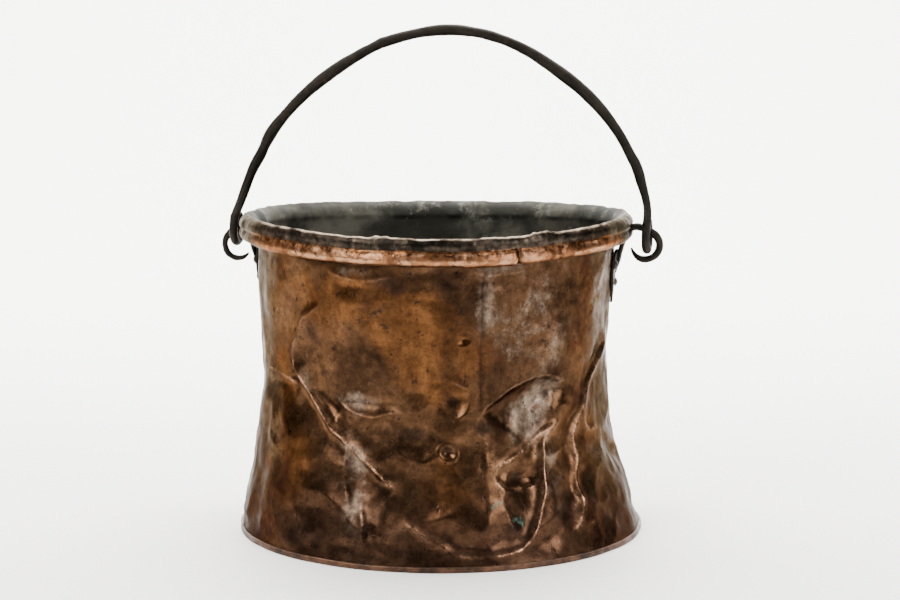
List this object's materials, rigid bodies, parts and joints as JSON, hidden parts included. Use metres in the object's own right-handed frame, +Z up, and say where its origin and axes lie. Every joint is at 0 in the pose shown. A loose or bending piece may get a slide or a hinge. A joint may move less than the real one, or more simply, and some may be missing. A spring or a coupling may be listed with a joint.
{
  "type": "copper kettle",
  "caption": "Open round copper kettle with waisted, battered sides, a rolled rim, riveted iron ears and a forged bail that swings over the mouth.",
  "frame": {"origin": "centre of the round foot, on the ground", "axes": "+Z up; the ears and the bail's pivot lie along X; the front with the lapped side seam faces -Y"},
  "size_m": [0.3521, 0.3212, 0.3967],
  "materials": {
    "wall_copper": "aged copper, satin",
    "base_copper": "aged copper, dull",
    "hoop_iron": "black iron",
    "ear_iron": "forged iron, dark",
    "bail_iron": "forged iron, dark",
    "rivet_copper": "aged copper, dark",
    "burr_copper": "aged copper, dull"
  },
  "bodies": {
    "kettle": {"body_wall": "wall_copper", "base_plate": "base_copper", "rim_hoop": "hoop_iron", "left_ear": "ear_iron", "left_rivet_lower": "rivet_copper", "left_burr_lower": "burr_copper", "left_rivet_front": "rivet_copper", "left_burr_front": "burr_copper", "left_rivet_rear": "rivet_copper", "left_burr_rear": "burr_copper", "right_ear": "ear_iron", "right_rivet_lower": "rivet_copper", "right_burr_lower": "burr_copper", "right_rivet_front": "rivet_copper", "right_burr_front": "burr_copper", "right_rivet_rear": "rivet_copper", "right_burr_rear": "burr_copper"},
    "bail": {"bail_handle": "bail_iron"}
  },
  "joints": [
    {"name": "bail_swing", "type": "hinge", "parent": "kettle", "child": "bail", "pos_m": [0, 0, 0.237], "axis": [1, 0, 0], "range_deg": [-56, 56]}
  ]
}
